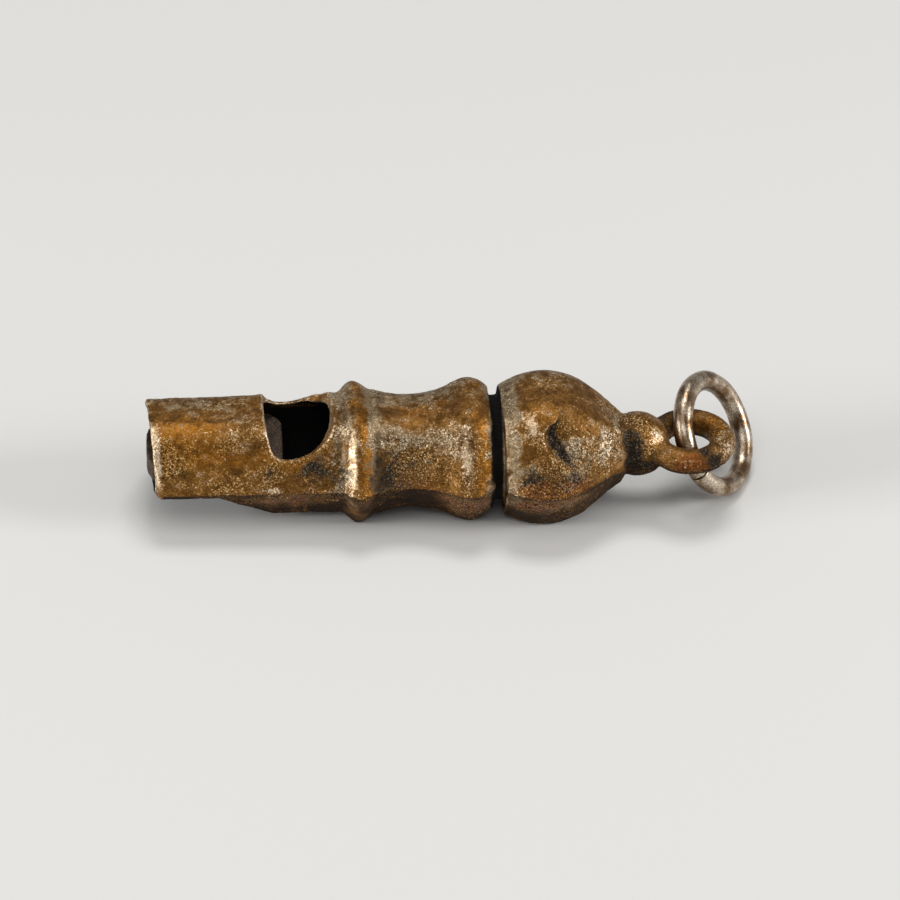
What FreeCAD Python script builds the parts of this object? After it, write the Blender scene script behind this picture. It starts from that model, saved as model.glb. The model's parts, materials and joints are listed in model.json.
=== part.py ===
# A cast bronze hawking whistle with a fipple block in its mouth and a loose wire ring.
# Lengths are in millimetres and angles in degrees.
# Every piece is drawn in the whistle's own frame: x runs along the axis from the mouth,
# y is level and z points up through the window. Each piece then tips a little to lie
# as the whistle rests on a table, with the origin under the widest part of the bulb.

import FreeCAD
import Part
import math
import os
import Sketcher

# Driving sizes. A radius of the casting runs from the axis to the seam, which is a
# corner of its six-sided section. A length runs along the axis.
SIZES = {
    # Mouthpiece and tube
    "mouth_radius": 6.1,
    "tube_length": 18.5,
    "tube_end_radius": 6.25,
    "upper_rounding": 0.42,
    "lower_rounding": 0.22,
    "seam_drop": 0.07,
    # Cut-away underside of the mouthpiece
    "beak_drop": 1.2,
    "beak_length": 6.9,
    "beak_ramp": 5.7,
    "floor_wall": 0.45,
    # Slant of the mouth, the front collar and the groove, whose near sides lie further back
    "mouth_far_reach": 0.35,
    "mouth_near_setback": 0.72,
    "mouth_corner": 1.1,
    "casting_lean": 3.0,
    # Two collars with the waisted spool between them
    "front_flank_length": 0.9,
    "front_flank_radius": 6.62,
    "front_collar_rise": 1.0,
    "front_collar_radius": 7.42,
    "front_shoulder_length": 1.0,
    "front_shoulder_radius": 7.02,
    "front_collar_fall": 1.1,
    "spool_start_radius": 6.5,
    "spool_waist_radius": 5.9,
    "spool_fall": 3.2,
    "spool_rise": 4.0,
    "spool_end_radius": 6.7,
    "rear_collar_radius": 7.48,
    "rear_collar_rise": 2.4,
    "rear_collar_fall": 1.95,
    "rear_collar_end_radius": 6.15,
    # Groove cut round between the rear collar and the bulb
    "groove_advance": 0.35,
    "groove_width": 1.05,
    "groove_floor_radius": 5.2,
    "groove_floor_rounding": 0.3,
    # Bulb behind the groove
    "bulb_shoulder_length": 1.95,
    "bulb_shoulder_radius": 7.35,
    "bulb_swell_length": 3.3,
    "bulb_radius": 8.08,
    "bulb_turn_length": 2.9,
    "bulb_turn_radius": 7.32,
    "bulb_dome_length": 2.2,
    "bulb_dome_radius": 5.8,
    "bulb_end_length": 2.5,
    "bulb_end_radius": 3.75,
    "bulb_end_sag": 0.25,
    # Dent in the bulb's upper near side
    "dent_advance": 1.9,
    "dent_turn": 52.0,
    "dent_radius": 2.3,
    "dent_depth": 0.75,
    # Neck, its bead and the level eye cast with it
    "neck_radius": 2.9,
    "bead_advance": 1.6,
    "bead_radius": 3.2,
    "eye_advance": 5.15,
    "eye_radius": 3.3,
    "eye_bar_radius": 1.28,
    # Bore and window
    "bore_radius": 4.8,
    "core_radius": 4.3,
    "bore_depth": 41.5,
    "bore_end_rounding": 2.5,
    "window_start": 11.55,
    "window_length": 7.2,
    "window_depth": 2.9,
    "window_slope": 0.18,
    "window_near_corner": 1.5,
    "window_far_corner": 5.2,
    # Fipple block
    "windway_height": 3.3,
    "block_length": 13.4,
    "block_lip": 0.05,
    "block_fit": 0.02,
    "block_front_rounding": 3.6,
    "block_end_rounding": 2.4,
    # Chip out of the rim at the mouth
    "chip_level": 0.2,
    "chip_length": 0.5,
    "chip_drop": 2.4,
    # Wear where the casting lies on its collar and bulb
    "wear_depth": 0.1,
    # Suspension ring, bent from wire
    "ring_radius": 5.4,
    "ring_wire_radius": 1.0,
    "ring_butt_gap": 0.12,
    "ring_butt_turn": 215.0,
    "ring_seat_along": -0.3,
    "ring_seat_across": -0.57,
    "ring_heading": 53.3,
    "ring_dip": 19.0,
    "ring_roll": 59.0,
    # Reach of a cutting shape past the metal that it cuts
    "cut_reach": 3.0,
}

# Distance from the centre of a regular hexagon to a flat, for a corner at distance 1.
FLAT_RATIO = math.sqrt(3.0) / 2.0

document = FreeCAD.newDocument("HawkingWhistle")
sheet = document.addObject("Spreadsheet::Sheet", "Sizes")


def fill_sheet():
    """Writes each driving size in a row of the sheet, with its name as the alias."""
    for row, (name, value) in enumerate(SIZES.items(), start=1):
        sheet.set(f"A{row}", name)
        sheet.set(f"B{row}", str(value))
        sheet.setAlias(f"B{row}", name)
    document.recompute()


class Size:
    """A number with the expression that works it out again from the sheet."""

    def __init__(self, value, text):
        self.value = value
        self.text = text

    def __add__(self, other):
        other = as_size(other)
        return Size(self.value + other.value, f"({self.text} + {other.text})")

    def __sub__(self, other):
        other = as_size(other)
        return Size(self.value - other.value, f"({self.text} - {other.text})")

    def __mul__(self, other):
        other = as_size(other)
        return Size(self.value * other.value, f"({self.text} * {other.text})")

    def __truediv__(self, other):
        other = as_size(other)
        return Size(self.value / other.value, f"({self.text} / {other.text})")

    def __neg__(self):
        return Size(-self.value, f"(-1 * {self.text})")


def as_size(number):
    """Lets a plain number stand in a sum of sizes."""
    if isinstance(number, Size):
        return number
    return Size(float(number), f"({float(number)!r})")


def size(name):
    """Reads one driving size from the sheet."""
    return Size(float(sheet.get(name)), f"Sizes.{name}")


def origin_plane(body, role):
    """Finds one of a body's own origin planes."""
    for feature in body.Origin.OriginFeatures:
        if feature.Role == role:
            return feature
    raise ValueError(f"{body.Name} has no {role}")


def new_sketch(body, name, role, axis="z", offset=None, lean=None):
    """Attaches a sketch to an origin plane, moved along one axis and leant about its upright."""
    sketch = body.newObject("Sketcher::SketchObject", name)
    sketch.AttachmentSupport = [(origin_plane(body, role), "")]
    sketch.MapMode = "FlatFace"
    if lean is not None:
        turn = FreeCAD.Rotation(FreeCAD.Vector(0, 1, 0), lean.value)
        sketch.AttachmentOffset = FreeCAD.Placement(FreeCAD.Vector(), turn)
        sketch.setExpression(".AttachmentOffset.Rotation.Angle", lean.text)
    if offset is not None:
        sketch.setExpression(f".AttachmentOffset.Base.{axis}", offset.text)
    return sketch


def end_at(sketch, edge, place):
    """Says which end of an edge, 1 or 2, lies at a place."""
    near = sketch.getPoint(edge, 1).distanceToPoint(place)
    far = sketch.getPoint(edge, 2).distanceToPoint(place)
    return 1 if near < far else 2


def corner_points(before, place, after, rounding):
    """Gives where a rounding starts, bulges and ends at one corner."""
    back = (before - place).normalize()
    ahead = (after - place).normalize()
    half_angle = back.getAngle(ahead) / 2.0
    reach = rounding / math.tan(half_angle)
    inward = (back + ahead).normalize()
    centre = place + inward * (rounding / math.sin(half_angle))
    return place + back * reach, centre - inward * rounding, place + ahead * reach


def draw_outline(sketch, corners):
    """Closes an outline through corners, each given as (across, up, rounding or None)."""
    places = [FreeCAD.Vector(across.value, up.value, 0) for across, up, _ in corners]
    count = len(corners)
    arrivals = list(places)
    departures = list(places)
    arcs = {}
    for index, (_, _, rounding) in enumerate(corners):
        if rounding is None:
            continue
        neighbours = places[index - 1], places[index], places[(index + 1) % count]
        start, middle, end = corner_points(*neighbours, rounding.value)
        arrivals[index] = start
        departures[index] = end
        arcs[index] = sketch.addGeometry(Part.Arc(start, middle, end))
    lines = []
    for index in range(count):
        line = Part.LineSegment(departures[index], arrivals[(index + 1) % count])
        lines.append(sketch.addGeometry(line))
    rules = []
    drivers = {}

    def drive(kind, edge, end, target):
        drivers[len(rules)] = target.text
        rules.append(Sketcher.Constraint(kind, -1, 1, edge, end, target.value))

    for index, (across, up, rounding) in enumerate(corners):
        entering = lines[index - 1]
        leaving = lines[index]
        if rounding is None:
            rules.append(Sketcher.Constraint("Coincident", entering, 2, leaving, 1))
            drive("DistanceX", leaving, 1, across)
            drive("DistanceY", leaving, 1, up)
            continue
        arc = arcs[index]
        corner = sketch.addGeometry(Part.Point(places[index]), True)
        drive("DistanceX", corner, 1, across)
        drive("DistanceY", corner, 1, up)
        rules.append(Sketcher.Constraint("PointOnObject", corner, 1, entering))
        rules.append(Sketcher.Constraint("PointOnObject", corner, 1, leaving))
        first = end_at(sketch, arc, arrivals[index])
        rules.append(Sketcher.Constraint("Tangent", entering, 2, arc, first))
        rules.append(Sketcher.Constraint("Tangent", arc, 3 - first, leaving, 1))
        drivers[len(rules)] = rounding.text
        rules.append(Sketcher.Constraint("Radius", arc, rounding.value))
    sketch.addConstraint(rules)
    for index, text in drivers.items():
        sketch.setExpression(f"Constraints[{index}]", text)


def revolve(body, name, sketch):
    """Turns a half outline about the whistle's axis."""
    feature = body.newObject("PartDesign::Revolution", name)
    feature.Profile = sketch
    feature.ReferenceAxis = (sketch, ["H_Axis"])
    feature.Angle = 360
    return feature


def cut_across(body, name, sketch, width):
    """Cuts an outline of the x and z directions through the body, evenly to both sides."""
    feature = body.newObject("PartDesign::Pocket", name)
    feature.Profile = sketch
    feature.Type = "Length"
    feature.SideType = "Symmetric"
    feature.Length = width.value
    feature.setExpression("Length", width.text)
    return feature


fill_sheet()

# Stations along the axis, each one length beyond the station before it.
collar_foot = size("tube_length")
front_flank = collar_foot + size("front_flank_length")
front_crest = front_flank + size("front_collar_rise")
front_shoulder = front_crest + size("front_shoulder_length")
spool_start = front_shoulder + size("front_collar_fall")
spool_waist = spool_start + size("spool_fall")
spool_end = spool_waist + size("spool_rise")
rear_crest = spool_end + size("rear_collar_rise")
collar_end = rear_crest + size("rear_collar_fall")
groove_centre = collar_end + size("groove_advance")
bulb_shoulder = collar_end + size("bulb_shoulder_length")
bulb_widest = bulb_shoulder + size("bulb_swell_length")
bulb_turn = bulb_widest + size("bulb_turn_length")
bulb_dome = bulb_turn + size("bulb_dome_length")
bulb_end = bulb_dome + size("bulb_end_length")
bead_centre = bulb_end + size("bead_advance")
eye_centre = bead_centre + size("eye_advance")
window_end = size("window_start") + size("window_length")

# Levels of the flats above and below the axis, and the line that the whistle rests on.
mouth_flat = size("mouth_radius") * FLAT_RATIO
collar_foot_level = -(size("front_collar_radius") * FLAT_RATIO - size("wear_depth"))
bulb_foot_level = -(size("bulb_radius") * FLAT_RATIO - size("wear_depth"))
rest_slope = (bulb_foot_level - collar_foot_level) / (bulb_widest - front_crest)
cut_width = (size("bulb_radius") + size("cut_reach")) * 2


def rest_level(station):
    """Gives the height of the table under a station, in the whistle's own frame."""
    return bulb_foot_level + rest_slope * (station - bulb_widest)


def hexagon_section(body, name, station, radius, lean=None, sag=0):
    """Draws the six-sided section: sharp low seams at the sides, worn corners elsewhere."""
    sketch = new_sketch(body, name, "YZ_Plane", offset=station, lean=lean)
    top = radius * FLAT_RATIO - sag
    bottom = -(radius * FLAT_RATIO) - sag
    half = radius / 2
    upper = radius * size("upper_rounding")
    lower = radius * size("lower_rounding")
    seam = -(radius * size("seam_drop")) - sag
    draw_outline(sketch, [
        (radius, seam, None),
        (half, top, upper),
        (-half, top, upper),
        (-radius, seam, None),
        (-half, bottom, lower),
        (half, bottom, lower),
    ])
    return sketch


def loft_sections(body, name, sections):
    """Runs one smooth skin through neighbouring sections."""
    feature = body.newObject("PartDesign::AdditiveLoft", name)
    feature.Profile = sections[0]
    feature.Sections = sections[1:]
    feature.Ruled = False
    feature.Closed = False
    return feature


def cast_outside(body):
    """Builds the outside of the casting from mouth to bulb, one loft for each swell."""
    lean = size("casting_lean")
    runs = {
        "Tube": [("Mouth", -size("mouth_far_reach"), size("mouth_radius")),
                 ("CollarFoot", collar_foot, size("tube_end_radius"), lean)],
        "FrontCollar": [("FrontFlank", front_flank, size("front_flank_radius"), lean),
                        ("FrontCrest", front_crest, size("front_collar_radius"), lean),
                        ("FrontShoulder", front_shoulder, size("front_shoulder_radius"), lean),
                        ("SpoolStart", spool_start, size("spool_start_radius"), lean)],
        "Spool": [("SpoolWaist", spool_waist, size("spool_waist_radius")),
                  ("SpoolEnd", spool_end, size("spool_end_radius"))],
        "RearCollar": [("RearCrest", rear_crest, size("rear_collar_radius")),
                       ("RearCollarEnd", collar_end, size("rear_collar_end_radius"))],
        "Bulb": [("BulbShoulder", bulb_shoulder, size("bulb_shoulder_radius")),
                 ("BulbWidest", bulb_widest, size("bulb_radius")),
                 ("BulbTurn", bulb_turn, size("bulb_turn_radius")),
                 ("BulbDome", bulb_dome, size("bulb_dome_radius")),
                 ("BulbEnd", bulb_end, size("bulb_end_radius"), lean, size("bulb_end_sag"))],
    }
    joining = []
    for name, stations in runs.items():
        sections = joining + [hexagon_section(body, *station) for station in stations]
        loft_sections(body, name, sections)
        joining = sections[-1:]


def cast_neck_and_eye(body):
    """Adds the neck behind the bulb, its round bead and the level eye that runs out of it."""
    neck = body.newObject("PartDesign::AdditiveCylinder", "Neck")
    neck.AttachmentSupport = [(origin_plane(body, "YZ_Plane"), "")]
    neck.MapMode = "FlatFace"
    neck.setExpression("Radius", size("neck_radius").text)
    neck.setExpression("Height", (bead_centre - bulb_dome).text)
    neck.setExpression(".AttachmentOffset.Base.z", bulb_dome.text)
    bead = body.newObject("PartDesign::AdditiveSphere", "Bead")
    bead.AttachmentSupport = [(origin_plane(body, "YZ_Plane"), "")]
    bead.MapMode = "FlatFace"
    bead.setExpression("Radius", size("bead_radius").text)
    bead.setExpression(".AttachmentOffset.Base.z", bead_centre.text)
    eye = body.newObject("PartDesign::AdditiveTorus", "Eye")
    eye.AttachmentSupport = [(origin_plane(body, "XY_Plane"), "")]
    eye.MapMode = "FlatFace"
    eye.setExpression("Radius1", size("eye_radius").text)
    eye.setExpression("Radius2", size("eye_bar_radius").text)
    eye.setExpression(".AttachmentOffset.Base.x", eye_centre.text)


def beak_outline(lift, reach):
    """Gives the corners under the beak's sloping underside, raised by lift."""
    level = lift - size("beak_drop")
    ramp_end = size("beak_length") + size("beak_ramp")
    below = -(mouth_flat + reach)
    return [
        (-reach, below, None),
        (-reach, level, None),
        (size("beak_length"), level, None),
        (ramp_end, lift - mouth_flat, None),
        (ramp_end, below, None),
    ]


def cut_beak(body):
    """Cuts the mouthpiece away below, with a ramp up to it from the collar."""
    sketch = new_sketch(body, "BeakOutline", "XZ_Plane")
    draw_outline(sketch, beak_outline(as_size(0), size("cut_reach")))
    cut_across(body, "BeakCut", sketch, cut_width)


def cut_window(body):
    """Cuts the sounding window across the top of the tube, with a sloping front edge."""
    start = size("window_start")
    sill = mouth_flat - size("window_depth")
    above = mouth_flat + size("cut_reach")
    sketch = new_sketch(body, "WindowOutline", "XZ_Plane", lean=size("casting_lean"))
    draw_outline(sketch, [
        (start - size("cut_reach") * size("window_slope"), above, None),
        (start + size("window_depth") * size("window_slope"), sill, size("window_near_corner")),
        (window_end, sill, size("window_far_corner")),
        (window_end, above, None),
    ])
    cut_across(body, "WindowCut", sketch, cut_width)


def mouth_station(across):
    """Gives where the slanting mouth lies, at a distance to the far side of the axis."""
    middle = (size("mouth_near_setback") - size("mouth_far_reach")) / 2
    half_slant = (size("mouth_near_setback") + size("mouth_far_reach")) / 2
    return middle - across * half_slant / size("mouth_radius")


def slant_mouth(body):
    """Cuts the mouth off a little askew, and rounds its near corner."""
    reach = size("cut_reach")
    wide = size("mouth_radius") + reach
    corner = size("mouth_radius") - size("mouth_corner")
    sketch = new_sketch(body, "MouthOutline", "XY_Plane")
    draw_outline(sketch, [
        (mouth_station(wide), wide, None),
        (mouth_station(-corner), -corner, size("mouth_corner") * 2),
        (mouth_station(-corner) + wide - corner, -wide, None),
        (-reach, -wide, None),
        (-reach, wide, None),
    ])
    cut_across(body, "MouthCut", sketch, cut_width)


def cut_groove(body):
    """Cuts the narrow groove round in front of the bulb, with a rounded floor."""
    sketch = new_sketch(
        body, "GrooveOutline", "XZ_Plane", axis="x", offset=groove_centre, lean=size("casting_lean"))
    half = size("groove_width") / 2
    floor = size("groove_floor_radius")
    above = size("bulb_radius") + size("cut_reach")
    draw_outline(sketch, [
        (half, above, None),
        (half, floor, size("groove_floor_rounding")),
        (-half, floor, size("groove_floor_rounding")),
        (-half, above, None),
    ])
    cut = body.newObject("PartDesign::Groove", "GrooveCut")
    cut.Profile = sketch
    cut.ReferenceAxis = (sketch, ["H_Axis"])
    cut.Angle = 360


def wear_feet(body):
    """Wears the undersides of the collar and the bulb flat on one common plane."""
    start = collar_foot
    end = bulb_dome
    below = -(size("bulb_radius") + size("cut_reach"))
    sketch = new_sketch(body, "WearOutline", "XZ_Plane")
    draw_outline(sketch, [
        (start, rest_level(start), None),
        (end, rest_level(end), None),
        (end, below, None),
        (start, below, None),
    ])
    cut_across(body, "WearCut", sketch, cut_width)


def chip_rim(body):
    """Breaks a chip out of the far rim of the mouth, from just above the seam downwards."""
    reach = size("cut_reach")
    top = size("chip_level")
    low = top - size("chip_drop")
    sketch = new_sketch(body, "ChipOutline", "XZ_Plane")
    draw_outline(sketch, [
        (-reach, top, None),
        (size("chip_length"), top, None),
        (size("chip_length") / 2, low, None),
        (-reach, low, None),
    ])
    chip = body.newObject("PartDesign::Pocket", "Chip")
    chip.Profile = sketch
    chip.Type = "Length"
    chip.setExpression("Length", cut_width.text)
    return chip


def make_cast_form():
    """Builds the casting without its bore."""
    body = document.addObject("PartDesign::Body", "CastForm")
    cast_outside(body)
    cast_neck_and_eye(body)
    cut_beak(body)
    cut_window(body)
    slant_mouth(body)
    cut_groove(body)
    wear_feet(body)
    chip_rim(body)
    return body


def make_air_passage():
    """Builds the air space: a blind bore, narrower past the window, with the beak's floor."""
    body = document.addObject("PartDesign::Body", "AirPassage")
    reach = size("cut_reach")
    level = as_size(0)
    sketch = new_sketch(body, "BoreOutline", "XZ_Plane")
    draw_outline(sketch, [
        (-reach, level, None),
        (size("bore_depth"), level, None),
        (size("bore_depth"), size("core_radius"), size("bore_end_rounding")),
        (spool_start, size("core_radius"), None),
        (window_end, size("bore_radius"), None),
        (-reach, size("bore_radius"), None),
    ])
    revolve(body, "Bore", sketch)
    floor = new_sketch(body, "FloorOutline", "XZ_Plane")
    draw_outline(floor, beak_outline(size("floor_wall"), reach + reach))
    cut_across(body, "FloorCut", floor, cut_width)
    return body


def make_dent():
    """Builds the ball that presses the dent into the bulb's upper near side."""
    radius = (size("dent_radius") * size("dent_radius") / size("dent_depth") + size("dent_depth")) / 2
    ball = document.addObject("Part::Sphere", "DentBall")
    ball.setExpression("Radius", radius.text)
    turn = math.radians(size("dent_turn").value)
    face_turn = math.radians(60.0)
    face = (size("bulb_radius") * FLAT_RATIO).value / math.cos(turn - face_turn)
    distance = face + radius.value - size("dent_depth").value
    station = bulb_widest + size("dent_advance")
    ball.Placement.Base = FreeCAD.Vector(
        station.value, -math.sin(turn) * distance, math.cos(turn) * distance)
    return ball


def make_whistle_body():
    """Hollows the casting and presses its dent."""
    hollow = document.addObject("Part::Cut", "HollowCasting")
    hollow.Base = make_cast_form()
    hollow.Tool = make_air_passage()
    casting = document.addObject("Part::Cut", "Casting")
    casting.Base = hollow
    casting.Tool = make_dent()
    casting.Label = "whistle_body"
    return casting


def make_block_plan():
    """Builds the block's plan, with its corners rounded off at the mouth and at its inner end."""
    body = document.addObject("PartDesign::Body", "BlockPlan")
    wide = size("bore_radius")
    front = -size("block_lip")
    sketch = new_sketch(body, "PlanOutline", "XY_Plane")
    draw_outline(sketch, [
        (front, -wide, size("block_front_rounding")),
        (size("block_length"), -wide, size("block_end_rounding")),
        (size("block_length"), wide, size("block_end_rounding")),
        (front, wide, size("block_front_rounding")),
    ])
    pad = body.newObject("PartDesign::Pad", "PlanPad")
    pad.Profile = sketch
    pad.SideType = "Symmetric"
    pad.setExpression("Length", (wide * 2).text)
    return body


def make_block_bar():
    """Builds the round bar of the block, cut away over the windway and under the beak."""
    body = document.addObject("PartDesign::Body", "BlockBar")
    fit = size("block_fit")
    level = as_size(0)
    front = -size("block_lip")
    sketch = new_sketch(body, "BlockRound", "XZ_Plane")
    draw_outline(sketch, [
        (front, level, None),
        (size("block_length"), level, None),
        (size("block_length"), size("bore_radius") - fit, None),
        (front, size("bore_radius") - fit, None),
    ])
    revolve(body, "RoundBar", sketch)
    top = size("bore_radius") - size("windway_height")
    reach = size("cut_reach")
    above = size("bore_radius") + reach
    windway = new_sketch(body, "WindwayOutline", "XZ_Plane")
    draw_outline(windway, [
        (-reach, top, None),
        (size("block_length") + reach, top, None),
        (size("block_length") + reach, above, None),
        (-reach, above, None),
    ])
    cut_across(body, "WindwayCut", windway, cut_width)
    under = new_sketch(body, "UndersideOutline", "XZ_Plane")
    draw_outline(under, beak_outline(size("floor_wall") + fit, reach + reach))
    cut_across(body, "UndersideCut", under, cut_width)
    return body


def make_fipple_block():
    """Builds the block that fills the bore below the windway."""
    block = document.addObject("Part::MultiCommon", "Block")
    block.Shapes = [make_block_bar(), make_block_plan()]
    block.Label = "fipple_block"
    return block


def make_suspension_ring():
    """Bends the wire ring round, with its two ends butted."""
    ring = document.addObject("Part::Torus", "Ring")
    ring.setExpression("Radius1", size("ring_radius").text)
    ring.setExpression("Radius2", size("ring_wire_radius").text)
    gap_turn = size("ring_butt_gap") / size("ring_radius") * math.degrees(1.0)
    ring.setExpression("Angle3", (as_size(360) - gap_turn).text)
    ring.Label = "suspension_ring"
    return ring


def turn_about(x, y, z, angle):
    """Gives a turn about one direction, in degrees."""
    return FreeCAD.Rotation(FreeCAD.Vector(x, y, z), angle)


def ring_placement():
    """Hangs the ring through the eye, leaning out to the far side and down to the table."""
    turn = turn_about(0, 0, 1, size("ring_heading").value)
    turn = turn.multiply(turn_about(0, 1, 0, size("ring_dip").value))
    turn = turn.multiply(turn_about(1, 0, 0, size("ring_roll").value))
    seat = FreeCAD.Vector(
        (eye_centre + size("ring_seat_along")).value, size("ring_seat_across").value, 0)
    centre = seat + turn.multVec(FreeCAD.Vector(size("ring_radius").value, 0, 0))
    butt = turn_about(0, 0, 1, size("ring_butt_turn").value)
    return FreeCAD.Placement(centre, turn.multiply(butt))


def resting_placement():
    """Tips the whistle onto its collar and bulb, with the bulb's foot at the origin."""
    tilt = math.degrees(math.atan(rest_slope.value))
    turn = turn_about(0, 1, 0, tilt)
    foot = FreeCAD.Vector(bulb_widest.value, 0, bulb_foot_level.value)
    return FreeCAD.Placement(-turn.multVec(foot), turn)


def check_objects():
    """Stops if an object failed to build."""
    for item in document.Objects:
        if "Invalid" in item.State or "Error" in item.State:
            raise RuntimeError(f"{item.Name} failed: {item.State}")


def write_parts(pieces):
    """Writes each piece to its own file, once it is known to be sound."""
    check_objects()
    os.makedirs("parts", exist_ok=True)
    for piece in pieces:
        shape = piece.Shape
        if shape.isNull() or not shape.isValid():
            raise RuntimeError(f"{piece.Label} is not a sound solid")
        shape.exportStep(f"parts/{piece.Label}.step")
        print(piece.Label, len(shape.Solids), "solid", round(shape.Volume, 3), "cubic mm")


casting = make_whistle_body()
block = make_fipple_block()
ring = make_suspension_ring()
document.recompute()
at_rest = resting_placement()
casting.Placement = at_rest
block.Placement = at_rest
ring.Placement = at_rest.multiply(ring_placement())
document.recompute()
write_parts([casting, block, ring])
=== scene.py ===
import bpy
import json
import math
import numpy as np
from mathutils import Matrix, Vector, noise


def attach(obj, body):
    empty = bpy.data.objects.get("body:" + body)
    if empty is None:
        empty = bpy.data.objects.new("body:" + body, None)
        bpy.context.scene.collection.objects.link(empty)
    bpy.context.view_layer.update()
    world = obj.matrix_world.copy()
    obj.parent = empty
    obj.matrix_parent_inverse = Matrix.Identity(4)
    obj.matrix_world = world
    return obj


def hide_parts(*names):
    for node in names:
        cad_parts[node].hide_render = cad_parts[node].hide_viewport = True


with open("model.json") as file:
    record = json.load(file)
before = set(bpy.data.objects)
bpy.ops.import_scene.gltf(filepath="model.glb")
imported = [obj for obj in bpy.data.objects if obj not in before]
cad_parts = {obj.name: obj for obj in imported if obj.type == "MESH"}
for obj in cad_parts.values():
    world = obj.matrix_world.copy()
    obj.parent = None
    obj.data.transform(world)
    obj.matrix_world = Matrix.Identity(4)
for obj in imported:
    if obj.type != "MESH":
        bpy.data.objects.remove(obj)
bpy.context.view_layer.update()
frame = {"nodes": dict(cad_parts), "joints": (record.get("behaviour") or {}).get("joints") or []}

# The casting
# Mouthpiece, two collars round a waisted spool, bulb, bead and eye, cast as one piece of
# bronze in a two-part mould. Its seam runs along both sides, and long use has worn it.
MM = 0.001
CASTING_VOXEL = 0.13 * MM
CASTING_TRIANGLES = 196000

# The casting has its own frame: along it from the mouth, across it and up, in mm. The ring's
# hinge stands in the middle of the eye, at this station, and its axis points up.
EYE_STATION = 53.65
hinge = frame["joints"][0]
eye_centre = np.array(hinge["pos_m"])
own_up = np.array(hinge["axis"])
own_across = np.array([0.0, 1.0, 0.0])
own_along = np.cross(own_across, own_up)


def read_points(mesh):
    """Gives a mesh's points as rows of x, y and z, in metres."""
    flat = np.empty(len(mesh.vertices) * 3, np.float32)
    mesh.vertices.foreach_get("co", flat)
    return flat.reshape(-1, 3).astype(float)


def read_normals(mesh):
    """Gives the outward direction at each point of a mesh."""
    flat = np.empty(len(mesh.vertices) * 3, np.float32)
    mesh.vertex_normals.foreach_get("vector", flat)
    return flat.reshape(-1, 3).astype(float)


def read_edges(mesh):
    """Gives the two points that each edge of a mesh joins."""
    flat = np.empty(len(mesh.edges) * 2, np.int32)
    mesh.edges.foreach_get("vertices", flat)
    return flat.reshape(-1, 2)


def write_points(mesh, points):
    """Moves a mesh's points to new places."""
    mesh.vertices.foreach_set("co", points.astype(np.float32).ravel())
    mesh.update()


def keep_map(mesh, name, values):
    """Stores how strongly a finish shows at each point of a mesh."""
    layer = mesh.attributes.new(name, "FLOAT", "POINT")
    layer.data.foreach_set("value", values.astype(np.float32))


def own_places(points):
    """Gives points in the casting's own frame, in mm: along from the mouth, across and up."""
    offset = (points - eye_centre) / MM
    return np.stack([offset @ own_along + EYE_STATION, offset @ own_across, offset @ own_up], 1)


def relaxed(points, edges, rounds):
    """Gives the points after some rounds of moving each halfway to the middle of its neighbours."""
    count = len(points)
    links = np.bincount(edges.ravel(), minlength=count)[:, None]
    for _ in range(rounds):
        total = np.zeros_like(points)
        for axis in range(3):
            total[:, axis] += np.bincount(edges[:, 0], points[edges[:, 1], axis], count)
            total[:, axis] += np.bincount(edges[:, 1], points[edges[:, 0], axis], count)
        points = (points + total / links) / 2
    return points


def softened(points, edges, rounds, share):
    """Relaxes the points only where the share is above 0."""
    return points + (relaxed(points, edges, rounds) - points) * np.clip(share, 0, 1)[:, None]


def proud(points, edges, normals, rounds):
    """Gives how far, in mm, each point stands out from where some rounds would move it."""
    return ((points - relaxed(points, edges, rounds)) * normals).sum(1) / MM


def lumps(places, size, layers=2, shift=0):
    """Gives a height of about -1 to 1 at each place, in lumps of a size in mm, moved by a shift."""
    return np.array([noise.fractal(Vector(place), 1.0, 2.0, layers) for place in (places + shift) / size])


def ramp(values, start, end):
    """Rises smoothly from 0 at the start to 1 at the end."""
    share = np.clip((values - start) / (end - start), 0, 1)
    return share * share * (3 - 2 * share)


def band(values, start, end, edge):
    """Is 1 between the start and the end, and fades to 0 over an edge outside them."""
    return ramp(values, start - edge, start) * ramp(-values, -end - edge, -end)


def spot(places, centre, reach):
    """Falls from 1 at a centre to 0 around it, over a reach along, across and up."""
    return np.exp(-(((places - centre) / reach) ** 2).sum(1))


def patches(places, spots):
    """Adds up spots, each given by its centre, its reach and its strength."""
    return sum(spot(places, centre, reach) * strength for centre, reach, strength in spots)


def skinned(node, name, voxel):
    """Copies a node of the frame as a new object with an even skin of small faces."""
    copy = bpy.data.objects.new(name, frame["nodes"][node].data.copy())
    bpy.context.scene.collection.objects.link(copy)
    skin = copy.modifiers.new("skin", "REMESH")
    skin.mode = "VOXEL"
    skin.voxel_size = voxel
    settle(copy)
    return copy


def settle(piece):
    """Makes a piece's modifiers part of its mesh."""
    shaped = piece.evaluated_get(bpy.context.evaluated_depsgraph_get())
    mesh = bpy.data.meshes.new_from_object(shaped)
    piece.modifiers.clear()
    piece.data = mesh


def thin_out(piece, triangles):
    """Drops the faces that a piece's shape can spare, down to a number of triangles."""
    count = sum(len(face.vertices) - 2 for face in piece.data.polygons)
    if count > triangles:
        thin = piece.modifiers.new("thin", "DECIMATE")
        thin.ratio = triangles / count
        settle(piece)


# The bore's radius by station along it, and how far in it goes.
BORE_STATIONS = [18.7, 22.5]
BORE_RADII = [4.8, 4.3]
BORE_END = 42


def in_bore(places):
    """Is 1 on the bore's wall and 0 outside."""
    along, across, up = places.T
    bore = np.interp(along, BORE_STATIONS, BORE_RADII)
    return ramp(bore - np.hypot(across, up), -0.22, -0.1) * (along < BORE_END)


# The seam lies a little below the axis, and lower the farther out it is.
SEAM_FALL = 0.07
SEAM_HALF = 0.1
SEAM_EDGE = 0.2


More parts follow.
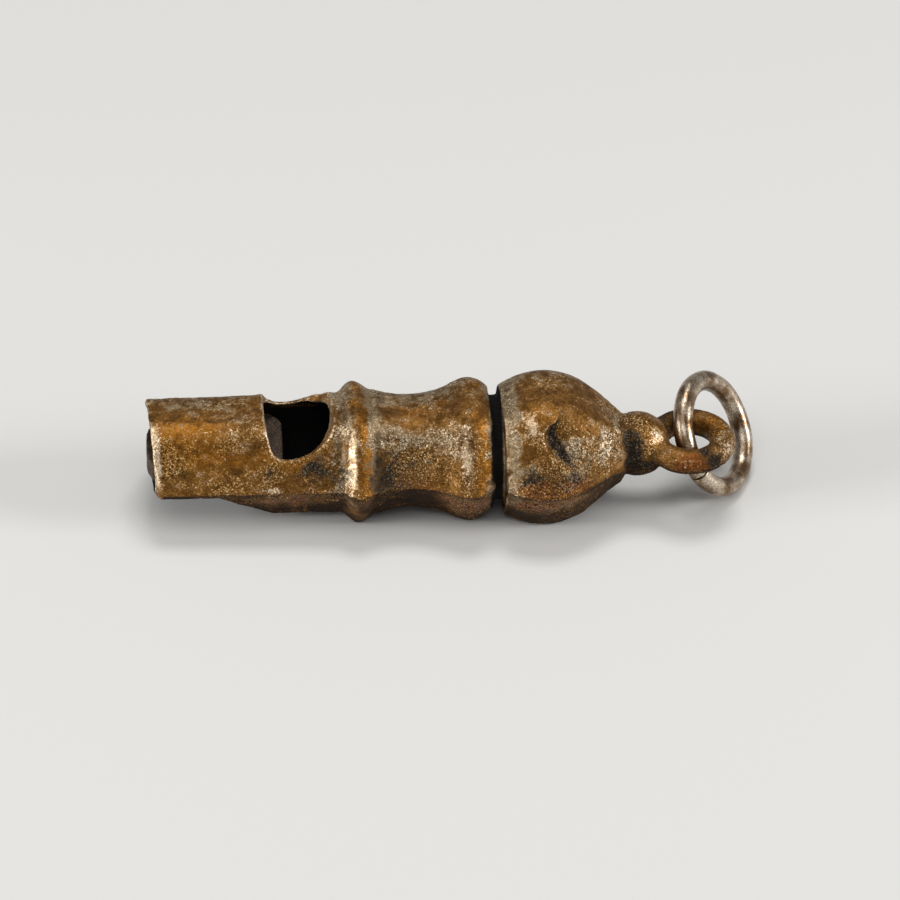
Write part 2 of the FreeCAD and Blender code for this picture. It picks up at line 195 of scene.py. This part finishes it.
def near_seam(places):
    """Is 1 along the two seams and 0 off them."""
    along, across, up = places.T
    level = up + SEAM_FALL * np.abs(across)
    return band(level, -SEAM_HALF, SEAM_HALF, SEAM_EDGE) * ramp(np.abs(across), 4.3, 5.0)


# The dent has a steep wall, given by the station of its foot at each level, with a short run
# behind that foot. Its dish slopes down to the foot from the eye's side.
DENT_WALL = [(2.0, 41.8), (2.6, 40.8), (3.3, 40.1), (4.2, 39.6), (5.0, 39.4), (5.5, 39.7), (5.9, 40.4)]
DENT_CENTRE = (41.4, -5.2, 4.1)
DENT_REACH = (6.0, 3.2, 2.6)
DENT_BACK = 0.5


def dent(places, run):
    """Falls from 1 at the foot of the dent's steep wall, at once behind it and over a run before it."""
    along, across, up = places.T
    wall_up, wall_along = np.transpose(DENT_WALL)
    before = along - np.interp(up, wall_up, wall_along)
    slope = before / np.where(before < 0, DENT_BACK, run)
    return np.exp(-slope**2) * spot(places, DENT_CENTRE, DENT_REACH)


# The window's far sill stands higher than in the solids, and the mouth's far lip is worn back.
# The rise and the wear are in mm.
SILL_SPAN = (11.5, 16.5)
SILL_RISE = 0.55
LIP_WEAR = 0.8
LIP_ROUNDS = 16


def wear_rims(points, edges):
    """Raises the window's far sill, wears back the mouth's far lip and rounds the whole lip."""
    along, across, up = own_places(points).T
    far_sill = band(along, *SILL_SPAN, 1.2) * ramp(across, 3.0, 4.2) * ramp(up, 0.8, 2.9)
    far_lip = ramp(across, 2.8, 4.8) * ramp(-along, -1.2, 0.3)
    points = points + far_sill[:, None] * own_up * (SILL_RISE * MM)
    points = points + far_lip[:, None] * own_along * (LIP_WEAR * MM)
    return softened(points, edges, LIP_ROUNDS, ramp(-along, -1.6, -0.4))


# The inner corners that the mould left full: round the neck, and where the eye leaves the bead.
NECK_SPAN = (46.5, 47.4)
EYE_CORNERS = [(51.0, -2.1, 0), (51.0, 2.1, 0)]
EYE_CORNER_REACH = (1.5, 1.8, 1.8)
EYE_CORNER_FILL = 1.6
CORNER_ROUNDS = 34


def fill_corners(points, edges):
    """Fills the inner corners at the neck and the eye."""
    places = own_places(points)
    corners = band(places[:, 0], *NECK_SPAN, 0.5)
    for corner in EYE_CORNERS:
        corners += spot(places, corner, EYE_CORNER_REACH) * EYE_CORNER_FILL
    return softened(points, edges, CORNER_ROUNDS, corners)


# Each kind of lump has a size and a height or depth, in mm. Pores go deeper where it is rough.
SWELL_SIZE = 5.0
SWELL_HEIGHT = 0.08
RIPPLE_SIZE = 1.5
RIPPLE_HEIGHT = 0.05
GRAIN_SIZE = 0.4
GRAIN_HEIGHT = 0.025
PORE_SIZE = 0.75
PORE_DEPTH = 0.03
ROUGH_PORE_DEPTH = 0.09
SEAM_BREAKS = 2.2
SEAM_HEIGHT = 0.05
DENT_DISH = 1.7
DENT_DEPTH = 0.6


def relief(places, rough):
    """Gives how far the skin stands out in mm, with its lumps, grain, pores, seam and dent."""
    height = lumps(places, SWELL_SIZE) * SWELL_HEIGHT + lumps(places, RIPPLE_SIZE, 3, 40) * RIPPLE_HEIGHT
    height += lumps(places, GRAIN_SIZE, 2, 200) * GRAIN_HEIGHT * (0.3 + rough)
    pores = ramp(lumps(places, PORE_SIZE, 2, 90), 0.25, 0.6)
    height -= pores * (PORE_DEPTH + ROUGH_PORE_DEPTH * rough)
    seam = near_seam(places) * ramp(lumps(places, SEAM_BREAKS, 2, 260), -0.1, 0.3)
    height += seam * SEAM_HEIGHT
    return height - dent(places, DENT_DISH) * DENT_DEPTH


# It is rough in lumps of this size in mm, and most of all at these places, each with a centre,
# a reach and a strength.
ROUGH_SIZE = 4.5
ROUGH_SPOTS = [
    ((2.6, -5.0, 2.4), (2.0, 1.4, 1.8), 0.7),
    ((12.2, -5.3, 1.6), (1.2, 1.0, 1.2), 0.9),
    ((26.8, -5.0, 2.2), (2.8, 1.8, 2.2), 1.1),
    ((40.0, -6.6, 0.4), (4.5, 1.6, 2.0), 0.8),
    ((45.2, -3.4, 2.4), (1.6, 2.6, 2.6), 0.9),
    ((49.0, -2.0, 1.0), (1.4, 1.8, 1.8), 0.8),
    ((56.6, -2.0, 0.4), (1.6, 2.0, 1.6), 1.0),
    ((14.0, -4.8, -1.6), (3.6, 1.6, 1.4), 0.8),
    ((31.4, -5.6, -2.4), (2.4, 1.8, 2.2), 1.0),
    ((39.0, -6.2, -2.0), (3.6, 1.8, 1.7), 1.0),
]


def shape_casting(mesh):
    """Wears and fills the casting's edges, and raises its relief outside the bore."""
    edges = read_edges(mesh)
    points = relaxed(read_points(mesh), edges, 2)
    points = wear_rims(points, edges)
    points = fill_corners(points, edges)
    write_points(mesh, points)
    places = own_places(points)
    rough = ramp(lumps(places, ROUGH_SIZE, 2, 150), -0.1, 0.4) * 0.6
    rough = np.clip(rough + patches(places, ROUGH_SPOTS), 0, 1.3)
    height = relief(places, rough) * (1 - in_bore(places))
    points = points + read_normals(mesh) * (height * MM)[:, None]
    # Nothing sinks into the floor.
    points[:, 2] = np.maximum(points[:, 2], 0)
    write_points(mesh, points)
    keep_map(mesh, "rough", np.clip(rough, 0, 1))


# Painted highlights, laid on as bright rubbed metal where the lamps glint: on the mouth's lip,
# the collars, the seam under the window, the bulb, the bead and the eye.
PAINTED_HIGHLIGHT_SPOTS = [
    ((0.85, -4.3, 2.8), (0.5, 2.0, 3.0), 3.0),
    ((20.15, -5.4, 2.0), (0.5, 2.2, 3.4), 1.8),
    ((31.4, -5.1, 2.6), (0.7, 2.2, 3.4), 1.4),
    ((12.4, -6.2, -0.1), (1.8, 0.7, 0.3), 1.0),
    ((37.6, -4.0, 5.4), (0.9, 1.6, 1.8), 0.9),
    ((45.2, -3.9, 2.6), (1.1, 2.0, 2.4), 0.7),
    ((50.2, -1.5, 1.5), (0.95, 1.3, 1.4), 1.0),
    ((57.3, -2.2, 0.3), (0.8, 1.0, 0.9), 0.7),
]

# Where a pale grey bloom lies on it, in spots and in bands round it. On the collars' left flanks,
# in the dent's dish and on the bulb's right side it is also painted sheen, where the lamps graze.
# A band has its start, its end, its edge, the two levels between which it comes in, and its
# strength. One whose levels lie below the casting goes all round.
BLOOM_AND_SHEEN_SPOTS = [
    ((5.0, 1.4, 5.2), (5.0, 1.8, 1.5), 0.7),
    ((9.0, -1.5, 5.0), (2.0, 1.2, 1.5), 0.45),
    ((9.5, -3.6, 3.8), (2.2, 1.0, 1.2), 0.4),
    ((27.0, 2.0, 5.3), (5.5, 2.2, 1.8), 1.05),
    ((24.2, -3.2, 4.6), (1.9, 1.4, 1.6), 0.75),
    ((26.6, -3.7, 4.0), (3.4, 1.0, 1.2), 0.6),
    ((30.0, -4.4, 4.2), (1.5, 1.8, 2.2), 0.75),
    ((40.0, 3.4, 6.9), (5.5, 2.2, 1.6), 0.65),
    ((41.8, -5.4, 3.0), (1.5, 1.4, 1.7), 0.85),
    ((41.5, -6.4, 1.2), (1.6, 1.0, 0.8), 0.45),
    ((45.4, -3.2, 2.6), (1.7, 2.6, 2.6), 0.85),
    ((46.9, -0.6, 3.4), (0.8, 1.6, 1.0), 0.9),
    ((37.0, -6.4, 2.0), (1.3, 1.2, 1.4), 0.4),
    ((57.2, -2.0, 0.6), (1.3, 1.7, 1.4), 0.6),
]
BLOOM_AND_SHEEN_BANDS = [
    (18.9, 19.6, 1.3, -3, 1, 0.8),
    (22.1, 22.7, 1.0, -1, 2, 0.9),
    (33.5, 34.1, 0.4, -20, -19, 0.6),
    (35.0, 35.7, 1.5, -4, 0, 0.95),
]

# Where soot and old dirt have stayed, with painted shade on the bead's left side, on the eye's
# far inner wall and at its lower right. Painted shadow also fills the foot of the dent's wall,
# over a run.
SOOT_AND_SHADE_SPOTS = [
    ((1.9, -5.8, 0.6), (0.45, 0.5, 0.45), 0.9),
    ((5.7, -5.5, 1.2), (0.55, 0.6, 0.5), 0.6),
    ((6.2, -2.1, 5.3), (0.9, 0.35, 0.5), 1.1),
    ((12.0, -5.4, 1.4), (0.9, 0.8, 1.1), 0.9),
    ((16.4, -5.5, 1.5), (2.8, 1.4, 1.6), 1.05),
    ((23.4, -5.8, 1.2), (2.1, 2.0, 2.4), 1.15),
    ((26.4, -5.6, 1.6), (1.6, 1.2, 1.8), 0.45),
    ((38.0, -6.8, 0.9), (0.7, 0.8, 0.7), 0.8),
    ((43.6, -6.0, -0.6), (1.8, 1.0, 0.9), 0.7),
    ((40.5, -6.6, 0.8), (4.4, 1.4, 1.7), 0.6),
    ((47.6, -2.0, 0.8), (0.75, 1.8, 2.4), 1.0),
    ((48.3, -2.6, 0.4), (1.3, 1.6, 2.0), 1.15),
    ((49.8, -2.9, -0.9), (1.7, 1.1, 1.0), 1.1),
    ((55.4, -3.4, 0.0), (1.1, 1.4, 1.7), 1.7),
    ((56.9, -2.6, -0.2), (1.2, 1.3, 1.0), 0.5),
    ((52.0, 3.0, 0.4), (2.6, 2.2, 2.0), 1.2),
    ((44.6, -4.6, 1.8), (1.6, 1.6, 1.6), 0.35),
]
FOOT_SHADE = 1.5
FOOT_RUN = 1.0

# Where the bronze shows red, and where it shows a warm gold.
RUST_SPOTS = [
    ((8.0, -4.4, 3.2), (1.6, 0.9, 1.2), 0.5),
    ((27.5, -5.6, -0.6), (3.0, 1.2, 1.4), 0.7),
    ((38.5, -7.0, -0.2), (2.6, 1.4, 1.4), 0.9),
    ((38.6, -6.2, -2.4), (3.2, 1.8, 1.8), 1.0),
    ((31.6, -5.4, -2.6), (2.4, 1.8, 2.0), 0.9),
    ((14.5, -4.6, -1.8), (3.2, 1.6, 1.4), 0.8),
    ((42.4, -6.6, 0.2), (1.6, 1.2, 1.2), 0.8),
    ((53.0, -4.2, 0.2), (1.9, 1.1, 1.6), 1.2),
]
WARM_SPOTS = [
    ((7.0, -3.8, 3.4), (6.5, 2.6, 2.4), 0.5),
    ((3.5, -2.4, 4.9), (2.6, 1.6, 1.2), 0.8),
    ((8.0, -4.6, 2.6), (5.5, 1.3, 0.7), 0.6),
    ((15.3, -5.2, 2.2), (1.9, 0.8, 0.45), 1.1),
    ((27.4, -0.6, 5.2), (3.2, 0.9, 0.8), 1.4),
    ((38.3, -3.4, 6.2), (1.9, 1.2, 1.2), 0.7),
    # This gold on the bead is partly a painted highlight.
    ((49.9, -1.6, 2.2), (1.0, 1.0, 1.0), 1.0),
    ((56.4, 0.6, 1.3), (1.5, 1.5, 0.6), 0.8),
]
WARM_BANDS = [
    (21.0, 21.7, 0.5, -20, -19, 0.7),
    (32.8, 33.4, 0.4, -20, -19, 0.7),
]

# Where the painted shade on the underside is weaker.
WEAKER_SHADE_SPOTS = [
    ((14.0, -4.8, -1.6), (3.6, 1.6, 1.4), 1.1),
    ((20.6, -5.2, -3.0), (0.9, 1.6, 2.2), 1.1),
    ((31.4, -5.6, -2.4), (2.4, 1.8, 2.2), 1.3),
    ((39.0, -6.2, -2.0), (3.6, 1.8, 1.7), 1.2),
]

# The groove behind the rear collar. It is painted dark as shade up to its floor's radius, and
# left unshaded from its top's.
GROOVE_SPAN = (33.8, 34.9)
GROOVE_FLOOR = 5.8
GROOVE_TOP = 6.3

# How far the edges of the spots and bands stray, in lumps of this size, and how much of that
# the painted shadow at the dent's foot follows.
RAGGED = 0.9
RAGGED_SIZE = 1.7
FOOT_RAGGED = 0.35

# The crests' wear and painted highlight fade out within this reach of the dent.
DENT_CALM = (3.0, 3.0, 3.0)


def bands(places, rows):
    """Adds up bands round the casting."""
    along, across, up = places.T
    return sum(band(along, start, end, edge) * ramp(up, low, high) * strength
               for start, end, edge, low, high, strength in rows)


def map_wear_and_painted_light(mesh):
    """Maps the painted shade inside, the crests' wear and painted highlight, the hollows, the grey bloom
    and painted sheen, the soot and painted shade, the painted shade underneath, and the red and warm
    patches.
    """
    points = read_points(mesh)
    edges = read_edges(mesh)
    normals = read_normals(mesh)
    places = own_places(points)
    away = np.hypot(places[:, 1], places[:, 2])
    groove = ramp(-away, -GROOVE_TOP, -GROOVE_FLOOR) * band(places[:, 0], *GROOVE_SPAN, 0.1)
    # Painted shade inside the bore and the groove.
    keep_map(mesh, "inner_shade", np.maximum(in_bore(places), groove))
    fine = proud(points, edges, normals, 6)
    wide = proud(points, edges, normals, 60)
    crest_wear_and_highlight = ramp(wide, 0.06, 0.4) + 0.7 * ramp(fine, 0.01, 0.035)
    crest_wear_and_highlight *= (1 - 0.9 * near_seam(places)) * (1 - 0.9 * spot(places, DENT_CENTRE, DENT_CALM))
    # Wear and painted highlight on the crests, with the painted highlight spots on top.
    keep_map(mesh, "crest_wear_and_highlight", crest_wear_and_highlight + patches(places, PAINTED_HIGHLIGHT_SPOTS))
    keep_map(mesh, "hollow", ramp(-wide, 0.03, 0.3) + 0.6 * ramp(-fine, 0.004, 0.02))
    stray = np.stack([lumps(places, RAGGED_SIZE, 4, shift) for shift in (300, 340, 380)], 1) * RAGGED
    # Painted shadow at the foot of the dent's wall.
    foot = ramp(dent(places + stray * FOOT_RAGGED, FOOT_RUN), 0.15, 0.9)
    places = places + stray
    # Grey bloom, with painted sheen.
    bloom_and_sheen = patches(places, BLOOM_AND_SHEEN_SPOTS) + bands(places, BLOOM_AND_SHEEN_BANDS)
    keep_map(mesh, "bloom_and_sheen", np.clip(bloom_and_sheen, 0, 1.2))
    # Soot and dirt, with painted shade.
    soot_and_shade = patches(places, SOOT_AND_SHADE_SPOTS) + foot * FOOT_SHADE
    keep_map(mesh, "soot_and_shade", np.clip(soot_and_shade, 0, 1.4))
    facing_down = -(normals @ own_up)
    # Painted shade on the faces that turn down.
    keep_map(mesh, "underside_shade", ramp(facing_down, -0.1, 0.6) - patches(places, WEAKER_SHADE_SPOTS))
    keep_map(mesh, "rust", np.clip(patches(places, RUST_SPOTS), 0, 1.2))
    warm = patches(places, WARM_SPOTS) + bands(places, WARM_BANDS)
    keep_map(mesh, "warm", np.clip(warm, 0, 1.2))


casting = skinned("whistle_body", "casting", CASTING_VOXEL)
shape_casting(casting.data)
map_wear_and_painted_light(casting.data)
thin_out(casting, CASTING_TRIANGLES)


class Shade:
    """One output in a material's nodes. Sums on values add Math nodes."""

    def __init__(self, tree, socket=None):
        self.tree = tree
        self.socket = socket

    def add(self, kind, settings, inputs, output=0):
        """Adds a node, sets it up, feeds its inputs, and gives one of its outputs."""
        node = self.tree.nodes.new("ShaderNode" + kind)
        for name, value in settings.items():
            setattr(node, name, value)
        for name, value in inputs.items():
            if isinstance(value, Shade):
                self.tree.links.new(value.socket, node.inputs[name])
            else:
                node.inputs[name].default_value = value
        return Shade(self.tree, node.outputs[output])

    def maths(self, operation, first, second):
        """Adds a Math node."""
        return self.add("Math", {"operation": operation}, {0: first, 1: second})

    def __add__(self, other):
        return self.maths("ADD", self, other)

    def __sub__(self, other):
        return self.maths("SUBTRACT", self, other)

    def __rsub__(self, other):
        return self.maths("SUBTRACT", other, self)

    def __mul__(self, other):
        return self.maths("MULTIPLY", self, other)

    __radd__ = __add__
    __rmul__ = __mul__

    def rise(self, start, end):
        """Rises smoothly from 0 to 1 as the value goes from the start to the end."""
        settings = {"interpolation_type": "SMOOTHSTEP"}
        return self.add("MapRange", settings, {"Value": self, "From Min": start, "From Max": end}, "Result")

    def over(self, below, above):
        """Mixes two colours, with this value as the share of the one above."""
        return self.add("Mix", {"data_type": "RGBA"}, {0: self, 6: below, 7: above}, 2)

    def grain(self, size, detail=2.0, rough=0.5, shift=0.0):
        """Gives noise of about 0 to 1 with lumps of a size in mm, fixed to the piece."""
        place = self.add("TexCoord", {}, {}, "Object")
        moved = self.add("VectorMath", {"operation": "ADD"}, {0: place, 1: (shift, shift, shift)})
        inputs = {"Vector": moved, "Scale": 1 / (size * MM), "Detail": detail, "Roughness": rough}
        return self.add("TexNoise", {}, inputs, "Fac")

    def bump(self, height, strength, distance):
        """Gives the surface's direction with a height pressed into it, over a distance in mm."""
        inputs = {"Strength": strength, "Distance": distance * MM, "Height": height}
        return self.add("Bump", {}, inputs, "Normal")

    def worn(self, name):
        """Reads one of the piece's own maps."""
        return self.add("Attribute", {"attribute_name": name}, {}, "Fac")


def tint(red, green, blue):
    """Turns a colour as a screen shows it, 0 to 255, into the light that it stands for."""
    shown = np.array([red, green, blue]) / 255
    light = np.where(shown <= 0.04045, shown / 12.92, ((shown + 0.055) / 1.055) ** 2.4)
    return (*light.tolist(), 1.0)


# Each finish has a colour for its low places, its high places and its bright flecks.
PATINA = tint(66, 42, 14), tint(148, 102, 46), tint(214, 188, 138)
WARM_PATINA = tint(98, 58, 10), tint(160, 106, 36), tint(224, 186, 118)
RED_PATINA = tint(54, 28, 10), tint(142, 84, 36), tint(206, 152, 98)
# The next five are bloom with painted sheen, soot with painted shade, painted shade underneath and inside,
# and rubbed metal with painted highlights.
GREY_BLOOM_AND_SHEEN = tint(80, 64, 44), tint(170, 148, 116), tint(236, 222, 194)
SOOT_AND_SHADE = tint(9, 7, 5), tint(50, 40, 30), tint(124, 108, 86)
UNDERSIDE_SHADE = tint(4, 2, 1), tint(38, 22, 9), tint(186, 134, 74)
BORE_AND_GROOVE_SHADE = tint(5, 4, 3), tint(14, 11, 8), tint(30, 24, 18)
RUBBED_METAL_AND_HIGHLIGHT = tint(160, 118, 66), tint(238, 212, 174), tint(255, 250, 238)
PIT_BROWN = tint(14, 9, 5)

# The sizes in mm of what the finish shows, from the finest to the broadest, and its bumps.
CAST_GRAIN = 0.1
CAST_SPECK = 0.19
CAST_PORE = 0.6
CAST_CLOUD = 1.4
CAST_BROAD = 4.5
CAST_BUMP = 0.05


def new_material(name):
    """Starts a material and gives a shade to add its nodes with."""
    material = bpy.data.materials.new(name)
    material.use_nodes = True
    return material, Shade(material.node_tree)


def finish_surface(material, sockets):
    """Feeds the sockets of a material's own shader."""
    shader = material.node_tree.nodes["Principled BSDF"]
    for name, value in sockets.items():
        if isinstance(value, Shade):
            material.node_tree.links.new(value.socket, shader.inputs[name])
        else:
            shader.inputs[name].default_value = value


def layered(finish, layers):
    """Lays finishes over one another by their shares, each colour over the one like it."""
    for share, top in layers:
        finish = [share.over(below, above) for below, above in zip(finish, top)]
    return finish


def cast_bronze():
    """Brown patina with warm and red patches, grey bloom and painted sheen, soot and painted shade, crests
    rubbed bright and painted with highlights, and painted shade underneath and in the bore.
    """
    material, shade = new_material("cast_bronze_patina")
    grain = shade.grain(CAST_GRAIN, 1.0, 0.5, 0.1)
    speck = shade.grain(CAST_SPECK, 2.0, 0.7, 0.3)
    pores = shade.grain(CAST_PORE, 4.0, 0.7, 0.5)
    cloud = shade.grain(CAST_CLOUD, 5.0, 0.7, 0.7)
    broad = shade.grain(CAST_BROAD, 4.0, 0.6, 1.1)
    fine = grain * 0.4 + speck * 0.6
    # Clouds, pores and grain break up the edges of the maps.
    wander = (cloud - 0.5) * 2.4 + (pores - 0.5) * 1.2 + (fine - 0.5) * 0.6
    pitted = (shade.worn("rough") * 0.7 + (broad - 0.5) * 2.0 + wander * 0.9).rise(0.0, 0.6)
    warm = (shade.worn("warm") + (broad - 0.5) * 1.6 + wander * 0.8).rise(0.0, 0.9)
    red = (shade.worn("rust") + wander).rise(0.2, 0.8)
    # The bloom carries painted sheen; the soot, the hollows, the underside and the inside carry painted
    # shade; the crest carries wear and painted highlights.
    bloom_and_sheen = (shade.worn("bloom_and_sheen") + wander * 1.3).rise(0.15, 1.0)
    soot_and_shade = (shade.worn("soot_and_shade") + shade.worn("hollow") * 0.3 + wander * 1.1).rise(0.15, 1.2)
    crest_wear_and_highlight = shade.worn("crest_wear_and_highlight") + wander * 0.9 + (fine - 0.5) * 1.5
    rubbed_and_highlight = crest_wear_and_highlight.rise(0.35, 1.3) * (1 - soot_and_shade * 0.8)
    underside_shade = (shade.worn("underside_shade") + wander * 0.4).rise(0.1, 0.9)
    inner_shade = shade.worn("inner_shade")
    low, high, fleck = layered(PATINA, [
        (warm, WARM_PATINA),
        (red, RED_PATINA),
        (bloom_and_sheen * 0.9, GREY_BLOOM_AND_SHEEN),
        (rubbed_and_highlight, RUBBED_METAL_AND_HIGHLIGHT),
        (soot_and_shade, SOOT_AND_SHADE),
        (underside_shade * 0.9, UNDERSIDE_SHADE),
        (inner_shade, BORE_AND_GROOVE_SHADE),
    ])
    tone = (cloud - 0.5) * 1.4 + (pores - 0.5) * 0.6 + (fine - 0.5) * 1.2 + rubbed_and_highlight * 0.15 + 0.5
    pits = (1 - fine).rise(0.52, 0.64) * (pitted * 0.9 + 0.08) * (1 - rubbed_and_highlight * 0.4)
    flecks = fine.rise(0.53, 0.62) * (pitted * 0.85 + rubbed_and_highlight * 0.3 + 0.05)
    colour = tone.rise(0.0, 1.0).over(low, high)
    colour = pits.over(colour, PIT_BROWN)
    colour = flecks.over(colour, fleck)
    bump = shade.bump(fine * (pitted + 0.5) + pores * 1.5, 1.0, CAST_BUMP)
    finish_surface(material, {
        "Base Color": colour,
        "Metallic": (0.75 + rubbed_and_highlight * 0.2 - soot_and_shade * 0.35 - underside_shade * 0.1) * (1 - inner_shade),
        "Roughness": 0.46 - rubbed_and_highlight * 0.1 + soot_and_shade * 0.25 - warm * 0.06 + underside_shade * 0.2 + inner_shade * 0.4,
        "Normal": bump,
        "Specular IOR Level": 0.15,
    })
    return material


def finish_piece(piece, material, body, node):
    """Gives a piece its material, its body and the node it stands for."""
    piece.data.materials.clear()
    piece.data.materials.append(material)
    piece.data.shade_smooth()
    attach(piece, body)
    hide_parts(node)


finish_piece(casting, cast_bronze(), "whistle", "whistle_body")

# The fipple block
# A separate bar of bronze fitted in the bore under the windway, held by its tight fit.
# Its top guides the breath to the window, and it is coloured a dull dark brown.
BLOCK_VOXEL = 0.16 * MM

# Its lumps, how far they stand out, and the sizes of its grain and clouds, in mm.
BLOCK_LUMP = 1.1
BLOCK_HEIGHT = 0.03
BLOCK_SINK = 0.02
BLOCK_GRAIN = 0.2
BLOCK_CLOUD = 1.2
BLOCK_BUMP = 0.05


def rub_down(piece, rounds, lumps_at):
    """Smooths a piece's skin, then raises it by the height in mm that a rule gives at each place."""
    points = relaxed(read_points(piece.data), read_edges(piece.data), rounds)
    write_points(piece.data, points)
    height = lumps_at(own_places(points))
    write_points(piece.data, points + read_normals(piece.data) * (height * MM)[:, None])


def block_lumps(places):
    """Gives how far the block's skin stands out, in mm."""
    return lumps(places, BLOCK_LUMP, 3) * BLOCK_HEIGHT - BLOCK_SINK


def dull_bronze():
    """Dark brown bronze with pale dust in its grain."""
    material, shade = new_material("dull_block_bronze")
    fine = shade.grain(BLOCK_GRAIN, 3.0, 0.6)
    cloud = shade.grain(BLOCK_CLOUD, 3.0, 0.6, 0.5)
    colour = cloud.rise(0.4, 0.6).over(tint(34, 25, 17), tint(66, 50, 34))
    finish_surface(material, {
        "Base Color": fine.rise(0.5, 0.7).over(colour, tint(112, 92, 68)),
        "Metallic": 0.3,
        "Roughness": 0.6 + cloud * 0.2,
        "Normal": shade.bump(fine, 0.8, BLOCK_BUMP),
    })
    return material


block = skinned("fipple_block", "block", BLOCK_VOXEL)
rub_down(block, 2, block_lumps)
finish_piece(block, dull_bronze(), "whistle", "fipple_block")

# The suspension ring
# Round bronze wire bent into a ring through the eye, with its two ends butted together.
# It hangs loose, and handling has rubbed it paler and smoother than the casting.
RING_VOXEL = 0.06 * MM
RING_TRIANGLES = 60000

# Its bends and nicks, how far they stand out, and the sizes of its grain and clouds, in mm.
RING_BEND = 2.4
RING_BEND_HEIGHT = 0.05
RING_NICK = 0.6
RING_NICK_HEIGHT = 0.01
RING_SINK = 0.01
WIRE_GRAIN = 0.12
WIRE_CLOUD = 1.8
WIRE_BUMP = 0.012


def ring_lumps(places):
    """Gives how far the wire's skin stands out in mm, with its bends and nicks."""
    bends = lumps(places, RING_BEND) * RING_BEND_HEIGHT
    return bends + lumps(places, RING_NICK, 2, 30) * RING_NICK_HEIGHT - RING_SINK


def rubbed_wire():
    """Brown wire rubbed smooth, with faint grain and paler stretches."""
    material, shade = new_material("rubbed_wire_bronze")
    grain = shade.grain(WIRE_GRAIN, 1.0, 0.5).rise(0.3, 0.7)
    cloud = shade.grain(WIRE_CLOUD, 3.0, 0.55, 0.2).rise(0.35, 0.65)
    low = cloud.over(tint(90, 66, 46), tint(150, 132, 110))
    high = cloud.over(tint(138, 110, 78), tint(222, 208, 188))
    finish_surface(material, {
        "Base Color": grain.over(low, high),
        "Metallic": 0.95,
        "Roughness": 0.28 + cloud * 0.06,
        "Normal": shade.bump(grain, 0.5, WIRE_BUMP),
    })
    return material


ring = skinned("suspension_ring", "ring", RING_VOXEL)
rub_down(ring, 3, ring_lumps)
thin_out(ring, RING_TRIANGLES)
finish_piece(ring, rubbed_wire(), "ring", "suspension_ring")

# The floor
# A plain pale sheet under the whistle, which takes its shadow. It reaches well past what the
# camera shows, so that its edge stays out of the picture.
FLOOR_REACH = 3.0
FLOOR_CORNERS = [(-1, -1), (1, -1), (1, 1), (-1, 1)]


def pale_sheet():
    """A plain pale grey, hardly shiny."""
    material, shade = new_material("pale_floor")
    finish_surface(material, {"Base Color": tint(206, 205, 202), "Roughness": 0.9})
    return material


floor_mesh = bpy.data.meshes.new("floor")
floor_points = [(x * FLOOR_REACH, y * FLOOR_REACH, 0) for x, y in FLOOR_CORNERS]
floor_mesh.from_pydata(floor_points, [], [(0, 1, 2, 3)])
floor_mesh.materials.append(pale_sheet())
floor = bpy.data.objects.new("floor", floor_mesh)
bpy.context.scene.collection.objects.link(floor)

# The light
# Two soft lamps low at the sides, weaker ones above and behind, and a dim pale room around.
# The room looks brighter to the camera than the light that it gives.
AIM = Vector((-9.57, -0.12, 6.44)) * MM
LAMP_REACH = 0.63
LAMPS = {
    "left_lamp": {"azimuth": -74, "elevation": 16, "side": 0.21, "power": 2.9},
    "right_lamp": {"azimuth": 78, "elevation": 20, "side": 0.18, "power": 2.5},
    "top_lamp": {"azimuth": -12, "elevation": 62, "side": 0.45, "power": 1.1},
    "rear_lamp": {"azimuth": 170, "elevation": 74, "side": 0.22, "power": 1.6},
}
ROOM_STRENGTH = 0.26
BACKDROP_STRENGTH = 0.85


def direction(azimuth, elevation):
    """Gives the way from the whistle to something around it, with 0 in front of it."""
    bearing = math.radians(azimuth)
    lift = math.radians(elevation)
    level = math.cos(lift)
    return Vector((math.sin(bearing) * level, -math.cos(bearing) * level, math.sin(lift)))


for name, stand in LAMPS.items():
    lamp = bpy.data.lights.new(name, "AREA")
    lamp.size = stand["side"]
    lamp.energy = stand["power"]
    holder = bpy.data.objects.new(name, lamp)
    toward = direction(stand["azimuth"], stand["elevation"])
    holder.location = AIM + toward * LAMP_REACH
    holder.rotation_euler = toward.to_track_quat("Z", "Y").to_euler()
    bpy.context.scene.collection.objects.link(holder)

room = bpy.data.worlds.new("room")
room.use_nodes = True
bpy.context.scene.world = room
camera_ray = Shade(room.node_tree).add("LightPath", {}, {}, "Is Camera Ray")
strength = camera_ray * (BACKDROP_STRENGTH - ROOM_STRENGTH) + ROOM_STRENGTH
backdrop = room.node_tree.nodes["Background"]
backdrop.inputs["Color"].default_value = tint(250, 250, 250)
room.node_tree.links.new(strength.socket, backdrop.inputs["Strength"])

# The camera
# A long lens from above and a little to the mouth's side, as in the photograph. It stands over
# half a metre off and looks at the point that the lamps look at, the middle of the whistle.
CAMERA_AZIMUTH = -4.3
CAMERA_ELEVATION = 37.0
CAMERA_ROLL = 2.46
CAMERA_REACH = 0.55
CAMERA_LENS = 222.5
CAMERA_SENSOR = 36.0
CAMERA_NEAR = 0.01

lens = bpy.data.cameras.new("camera")
lens.sensor_width = CAMERA_SENSOR
lens.lens = CAMERA_LENS
lens.clip_start = CAMERA_NEAR
camera = bpy.data.objects.new("camera", lens)
turn = Matrix.Rotation(math.radians(CAMERA_AZIMUTH), 4, "Z")
tip = Matrix.Rotation(math.radians(90 - CAMERA_ELEVATION), 4, "X")
roll = Matrix.Rotation(math.radians(CAMERA_ROLL), 4, "Z")
stance = Matrix.Translation(AIM + direction(CAMERA_AZIMUTH, CAMERA_ELEVATION) * CAMERA_REACH)
camera.matrix_world = stance @ turn @ tip @ roll
bpy.context.scene.collection.objects.link(camera)
bpy.context.scene.camera = camera
bpy.context.scene.view_settings.view_transform = "Standard"
